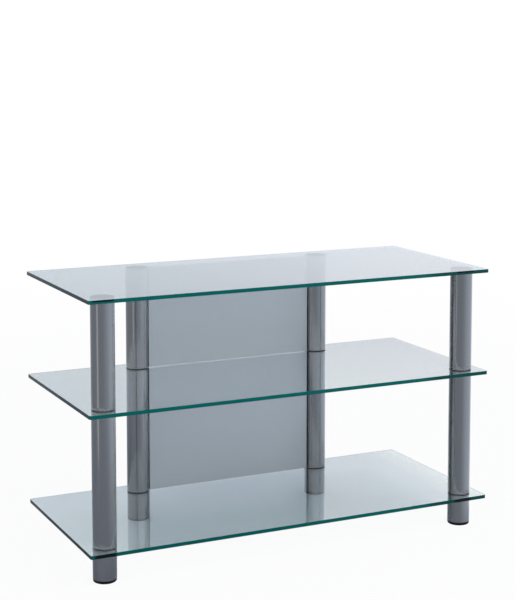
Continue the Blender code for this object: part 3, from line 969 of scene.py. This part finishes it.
# A screw's dome in heights of its head, and its pointed end in radii
DOME_SHARE, POINT_SHARE = 0.45, 0.9

# Its cross recess: length and width in head radii, depth in head heights, and how its foot narrows
RECESS_LENGTH, RECESS_WIDTH, RECESS_RISE = 1.1, 0.22, 0.1
RECESS_FOOT = (0.45, 0.6, 1)


def panel_piece(bay):
    """A sheet between the rear posts, with a flange folded back at either side.

    Its ends stop a seat's gap from the shelves, so that hardly any light shows there.
    """
    node = f"{bay}_back_panel"
    low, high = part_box(node)
    below, above = (f"{shelf}_shelf_glass" for shelf in BAY_SHELVES[bay])
    low.z, high.z = extent(below)[1] + SEAT_GAP, extent(above)[0] - SEAT_GAP
    centre, size = (low + high) / 2, high - low
    sheet = sizes().panel_sheet
    bm = block(size)
    open_faces = [f for f in bm.faces if f.normal.y > ALONG_AXIS or abs(f.normal.z) > ALONG_AXIS]
    bmesh.ops.delete(bm, geom=open_faces, context="FACES")
    folds = [e for e in bm.edges if not e.is_boundary]
    bmesh.ops.bevel(
        bm, geom=folds, offset=sizes().panel_fold, segments=FOLD_STEPS, profile=ROUND_PROFILE, affect="EDGES")
    item = place("folded_sheet", mesh_from(bm, "folded_sheet"))
    wall = item.modifiers.new("Sheet", "SOLIDIFY")
    wall.thickness, wall.offset, wall.use_even_offset = sheet, -1, True
    places = [
        (sign * (size.x - sheet) / 2, 0, z - centre.z)
        for side, sign in (("left", -1), ("right", 1)) for z in screw_heights(bay, side)]
    mesh = shift(drilled(baked_mesh(item), sheet, places), centre)
    return seat(f"{bay}_panel", mesh, "silver_coated_sheet", node, smooth_angle=50.0)


def screw_blank(length, head_radius):
    """A pan-head screw down from its head at Z = length, with a cross recess and a pointed thread."""
    head, radius = sizes().screw_head, sizes().screw_radius
    under_head = length - head
    dome = head * DOME_SHARE
    profile = [(0, under_head), (head_radius, under_head)] + arc(head_radius - dome, length - dome, dome, 0, 90, 6)
    cap = turned(profile + [(0, length)], THREAD_SIDES * 2)
    shaft = threaded(radius, sizes().screw_pitch, under_head + head / 2, low_taper=radius * POINT_SHARE)
    slot = block((head_radius * RECESS_LENGTH, head_radius * RECESS_WIDTH, head))
    bmesh.ops.scale(slot, verts=[v for v in slot.verts if v.co.z < 0], vec=RECESS_FOOT)
    slot = shift(mesh_from(slot, "slot"), (0, 0, length - head * RECESS_RISE))
    crossing = shift(slot.copy(), (0, 0, 0), Matrix.Rotation(QUARTER, 4, "Z"))
    return boolean(boolean(shaft, [cap], "UNION"), [slot, crossing], "DIFFERENCE")


def screw_piece(node):
    """One panel screw along X, its head inside the panel."""
    low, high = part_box(node)
    outward = -1 if "_left_" in node else 1
    mesh = screw_blank(high.x - low.x, (high.z - low.z) / 2)
    tip = (low + high) / 2
    tip.x = high.x if outward > 0 else low.x
    shift(mesh, tip, Matrix.Rotation(-QUARTER * outward, 4, "Y"))
    return seat(f"cross_{node}", mesh, "zinc_plated_steel", node)


class RACK_OT_make_panels(bpy.types.Operator):
    """Make the two back panels and the screws that hold them to the rear posts"""
    bl_idname = "rack.make_panels"
    bl_label = "Make Panels"

    def execute(self, context):
        for bay in BAY_SHELVES:
            panel_piece(bay)
        for node in sorted(n for n in frame["nodes"] if "_panel_screw_" in n):
            screw_piece(node)
        return {"FINISHED"}


# Stage

WHITE = (1, 1, 1, 1)
AMBIENT_COLOUR = (0.96, 0.98, 1.0, 1.0)
FLOOR_SIDE = 24.0

# The camera that fits the photograph
LENS, SENSOR, LENS_SHIFT = 90.17, 36.0, -0.2
CAMERA_SPOT = (-1.4395, -3.0075, 1.1184)
YAW_RIGHT, PITCH_DOWN = math.radians(25.526), math.radians(5.524)

# Distances between which the floor becomes wholly white
FLOOR_REACH = (1.0, 4.0)

# Distances between which the room takes the place of the mirrored floor: all round, to the
# right, and in front of the rack across it and forward
OPEN_ROUND, OPEN_RIGHT = (0.9, 2.25), (0.46, 0.621)
OPEN_ACROSS, OPEN_FORWARD = (-0.414, 0.69), (0.0, -0.299)

# The narrow light
STRIP_SPOT, STRIP_WIDTH, STRIP_HEIGHT = (-1.155, -0.436, 0.83), 0.16, 1.54

# The broad light's direction, half its width, and how far it fades to the front and to the
# back; then half the width of the back sky, and how far it fades
SOFT_MIDDLE, SOFT_HALF, SOFT_FRONT, SOFT_BACK = (math.radians(angle) for angle in (85, 18, 100, 58))
SKY_HALF, SKY_BORDER = math.radians(18), math.radians(16)
HORIZON = (-0.02, 0.05)

# Rays that have been mirrored more often than this see the room of the second mirror
MIRRORED_ONCE = 1.5

# Where each lamp stands, how wide it is, and its colour
LAMPS = {
    "key_lamp": ((2.2, -2.4, 3.2), 2.4, (1.0, 0.99, 0.97)),
    "fill_lamp": ((-3.0, -1.4, 2.2), 2.6, (0.95, 0.97, 1.0)),
}
LAMP_TARGET = Vector((0, 0, 0.3))


def light_path(tree, part):
    return add_node(tree, "ShaderNodeLightPath", out=part)


def open_share(distance, x, y):
    """1 where metal and glass mirror the room in place of the floor, else down to 0."""
    ahead = x.ramp(*OPEN_ACROSS) * y.ramp(*OPEN_FORWARD)
    beside = x.ramp(*OPEN_RIGHT, smooth=True).math("MAXIMUM", ahead)
    return distance.ramp(*OPEN_ROUND, smooth=True).math("MAXIMUM", beside)


def floor_finish():
    """Pale floor, white to the camera and less so through glass, that keeps a soft shadow.

    Far off and at the right, metal and glass mirror the room through it.
    """
    tree, shader = finish("pale_studio_floor", roughness=0.9, specular_ior_level=0.0)
    point = object_point(tree)
    paint(shader, base_color=noise(point, 3.0, detail=4.0).blend(*shades(colours().floor, 0.99, 1.0)))
    distance = add_node(tree, "ShaderNodeVectorMath", {0: point}, "Value", operation="LENGTH")
    seen = distance.ramp(*FLOOR_REACH, studio().floor_lift, smooth=True)
    through = distance.ramp(*FLOOR_REACH, studio().floor_lift_through, smooth=True)
    lift = light_path(tree, "Is Camera Ray") * seen + light_path(tree, "Is Transmission Ray") * through
    glow = add_node(tree, "ShaderNodeEmission", {"Color": WHITE})
    lifted = mixed_shader(lift, Flow(shader.outputs[0]), glow)
    x, y, _ = split(point)
    opened = light_path(tree, "Is Glossy Ray") * open_share(distance, x, y)
    show(tree, mixed_shader(opened, lifted, add_node(tree, "ShaderNodeBsdfTransparent")))


def make_floor():
    """The floor, which goes down with whichever levelling pad is lowest."""
    floor_finish()
    item = flat_piece("studio_floor", FLOOR_SIDE, FLOOR_SIDE, "pale_studio_floor")
    for post in POSTS:
        pad = bpy.data.objects.get(f"levelling_pad_{post}")
        if pad:
            limit = item.constraints.new("FLOOR")
            limit.target, limit.floor_location = pad, "FLOOR_NEGATIVE_Z"


def make_strip():
    """A narrow upright light at the left that only mirroring surfaces see."""
    tree, _ = finish("strip_light")
    show(tree, add_node(tree, "ShaderNodeEmission", {"Color": rgba(studio().strip)}))
    item = flat_piece("strip_light", STRIP_WIDTH, STRIP_HEIGHT, "strip_light")
    item.location = STRIP_SPOT
    item.rotation_euler = (QUARTER, 0, math.atan2(-STRIP_SPOT[0], STRIP_SPOT[1]))
    for kind in ("camera", "diffuse", "transmission", "shadow"):
        setattr(item, f"visible_{kind}", False)


def soft_light(azimuth):
    """1 within the width of the broad light, fading to 0 on either side."""
    offset = (azimuth - SOFT_MIDDLE).math("WRAP", math.pi, -math.pi)
    rise = offset.ramp(-SOFT_HALF - SOFT_FRONT, -SOFT_HALF, smooth=True)
    return rise * offset.ramp(SOFT_HALF, SOFT_HALF + SOFT_BACK, 1.0, 0.0, smooth=True)


def background(colour, strength):
    return add_node(bpy.context.scene.world.node_tree, "ShaderNodeBackground", {"Color": colour, "Strength": strength})


def make_world():
    """White behind, even ambient light, and what metal and glass mirror: a pale room, lit at the right."""
    world = bpy.data.worlds.new("studio_world")
    bpy.context.scene.world = world
    world.use_nodes = True
    world.cycles.sampling_method = "NONE"
    tree = world.node_tree
    tree.nodes.clear()
    given = studio()
    x, y, z = split(add_node(tree, "ShaderNodeTexCoord", out="Generated"))
    azimuth = x.math("ARCTAN2", y * -1.0)
    aside = math.pi - SKY_HALF
    sky = abs(azimuth).ramp(aside, aside - SKY_BORDER).blend(given.back_sky, given.side_sky)
    room = z.math("ARCSINE").ramp(*HORIZON, smooth=True).blend(given.backdrop, sky)
    again = light_path(tree, "Glossy Depth").math("GREATER_THAN", MIRRORED_ONCE)
    mirrored = background(soft_light(azimuth).blend(room, given.softbox), again * (given.second_mirror - 1.0) + 1.0)
    lit = mixed_shader(light_path(tree, "Is Glossy Ray"), background(AMBIENT_COLOUR, given.ambient), mirrored)
    straight = light_path(tree, "Is Camera Ray").math("MAXIMUM", light_path(tree, "Is Transmission Ray"))
    output = tree.nodes.new("ShaderNodeOutputWorld")
    feed(output.inputs["Surface"], mixed_shader(straight, lit, background(WHITE, 1.0)))


def make_lamp(name, power):
    """A square lamp that lights the rack but isn't mirrored in it."""
    stand, side, colour = LAMPS[name]
    light = bpy.data.lights.new(name, "AREA")
    light.size, light.energy, light.color = side, power, colour
    lamp = place(name, light)
    lamp.location = stand
    lamp.rotation_euler = (LAMP_TARGET - Vector(stand)).to_track_quat("-Z", "Y").to_euler()
    lamp.visible_glossy = False


def make_camera():
    camera = bpy.data.cameras.new("studio_camera")
    camera.lens, camera.sensor_width, camera.shift_y = LENS, SENSOR, LENS_SHIFT
    item = place("studio_camera", camera)
    item.location = CAMERA_SPOT
    item.rotation_euler = (QUARTER - PITCH_DOWN, 0, -YAW_RIGHT)
    bpy.context.scene.camera = item


class RACK_OT_make_stage(bpy.types.Operator):
    """Make the studio floor, the lights and the camera"""
    bl_idname = "rack.make_stage"
    bl_label = "Make Stage"

    def execute(self, context):
        context.scene.view_settings.view_transform = "Standard"
        make_floor()
        make_strip()
        make_world()
        make_lamp("key_lamp", studio().key_power)
        make_lamp("fill_lamp", studio().fill_power)
        make_camera()
        return {"FINISHED"}


OPERATORS = (
    RACK_OT_make_finishes, RACK_OT_make_shelves, RACK_OT_make_tubes, RACK_OT_make_discs,
    RACK_OT_make_plugs, RACK_OT_make_feet, RACK_OT_make_panels, RACK_OT_make_stage,
)


class RACK_PT_sidebar(bpy.types.Panel):
    """Lists the rack's operators, its sizes and colours, and the studio's values"""
    bl_idname = "RACK_PT_sidebar"
    bl_label = "Glass Television Rack"
    bl_space_type = "VIEW_3D"
    bl_region_type = "UI"
    bl_category = "Rack"

    def draw(self, context):
        for operator in OPERATORS:
            self.layout.operator(operator.bl_idname)
        for group in (sizes(), colours(), studio()):
            box = self.layout.box()
            for name in type(group).__annotations__:
                box.prop(group, name)


GROUPS = {"rack_sizes": RackSizes, "rack_colours": RackColours, "rack_studio": RackStudio}
CLASSES = (*GROUPS.values(), *OPERATORS, RACK_PT_sidebar)


def register():
    for item in CLASSES:
        bpy.utils.register_class(item)
    for name, group in GROUPS.items():
        setattr(bpy.types.Scene, name, bpy.props.PointerProperty(type=group))


def unregister():
    for name in GROUPS:
        delattr(bpy.types.Scene, name)
    for item in reversed(CLASSES):
        bpy.utils.unregister_class(item)


def main():
    register()
    bpy.ops.rack.make_finishes()
    bpy.ops.rack.make_shelves()
    bpy.ops.rack.make_tubes()
    bpy.ops.rack.make_discs()
    bpy.ops.rack.make_plugs()
    bpy.ops.rack.make_feet()
    bpy.ops.rack.make_panels()
    bpy.ops.rack.make_stage()


if __name__ == "__main__":
    main()
